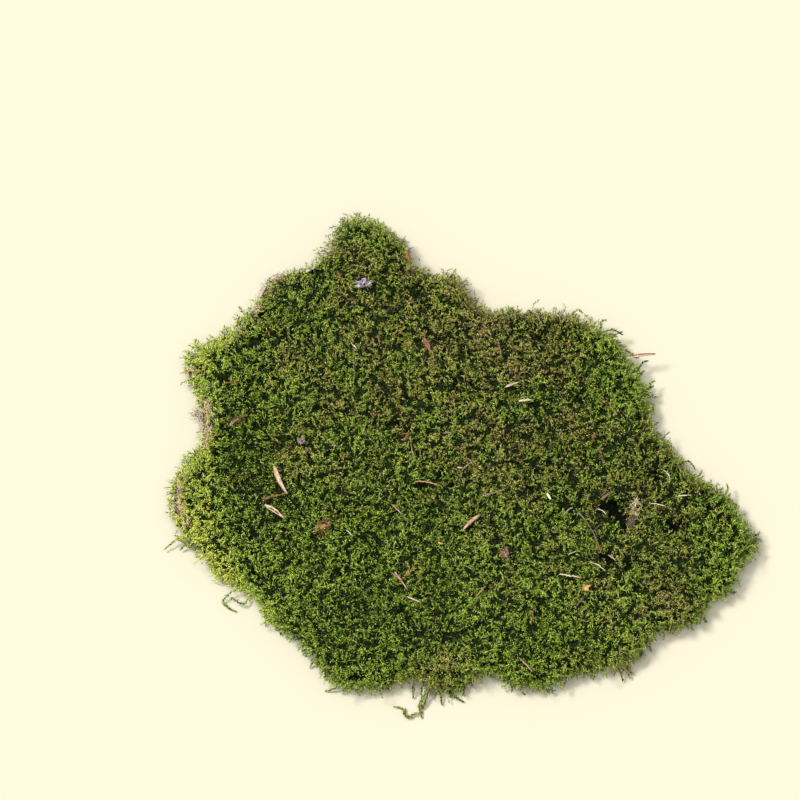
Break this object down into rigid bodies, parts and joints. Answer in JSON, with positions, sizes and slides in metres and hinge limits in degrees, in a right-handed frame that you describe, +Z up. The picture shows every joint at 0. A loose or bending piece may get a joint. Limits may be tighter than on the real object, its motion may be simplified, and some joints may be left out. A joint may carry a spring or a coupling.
{
  "type": "moss sheet",
  "caption": "Flat sheet of living carpet moss with its dead stems and soil below and forest litter on top; lies on a surface as ground cover or display greenery.",
  "frame": {"origin": "on the ground, under the middle of the sheet's box", "axes": "+Z up; +X along the sheet's long side, towards its pointed end; +Y towards the corner that stands out at the back"},
  "size_m": [0.4406, 0.389, 0.0301],
  "materials": {
    "moss": "matt, dense feathery shoots, lime tips over dark olive",
    "soil": "matt, fibrous and crumbly, dry tan where torn",
    "needle": "dry, slightly satin, brown to pinkish grey",
    "stalk": "dry, pale straw to whitish green",
    "bud_scale": "papery satin, pale tan with red-brown edges",
    "twig": "matt bark",
    "tan_scrap": "matt, dry and crumbly",
    "dry_leaf": "matt, dry, wrinkled",
    "lichen": "matt, chalky grey-lilac",
    "yellow_leaf": "matt, dry, slightly translucent"
  },
  "bodies": {
    "root": {"moss_mat": "moss", "soil_layer": "soil", "needle_01": "needle", "needle_02": "needle", "needle_03": "needle", "needle_04": "needle", "needle_05": "needle", "needle_06": "needle", "needle_07": "needle", "needle_08": "needle", "needle_09": "needle", "needle_10": "needle", "needle_11": "needle", "needle_12": "needle", "needle_13": "needle", "needle_14": "needle", "needle_15": "needle", "needle_16": "needle", "needle_17": "needle", "needle_18": "needle", "needle_19": "needle", "needle_20": "needle", "needle_21": "needle", "stalk_01": "stalk", "stalk_02": "stalk", "stalk_03": "stalk", "stalk_04": "stalk", "stalk_05": "stalk", "stalk_06": "stalk", "bud_scale_01": "bud_scale", "bud_scale_02": "bud_scale", "bud_scale_03": "bud_scale", "bud_scale_04": "bud_scale", "bud_scale_05": "bud_scale", "bud_scale_06": "bud_scale", "bud_scale_07": "bud_scale", "bud_scale_08": "bud_scale", "bud_scale_09": "bud_scale", "bud_scale_10": "bud_scale", "bud_scale_11": "bud_scale", "bud_scale_12": "bud_scale", "forked_twig": "twig", "tan_scrap": "tan_scrap", "lilac_scrap": "dry_leaf", "lichen_flake": "lichen", "leaf_scrap": "dry_leaf", "yellow_leaf_scrap": "yellow_leaf"}
  },
  "joints": []
}
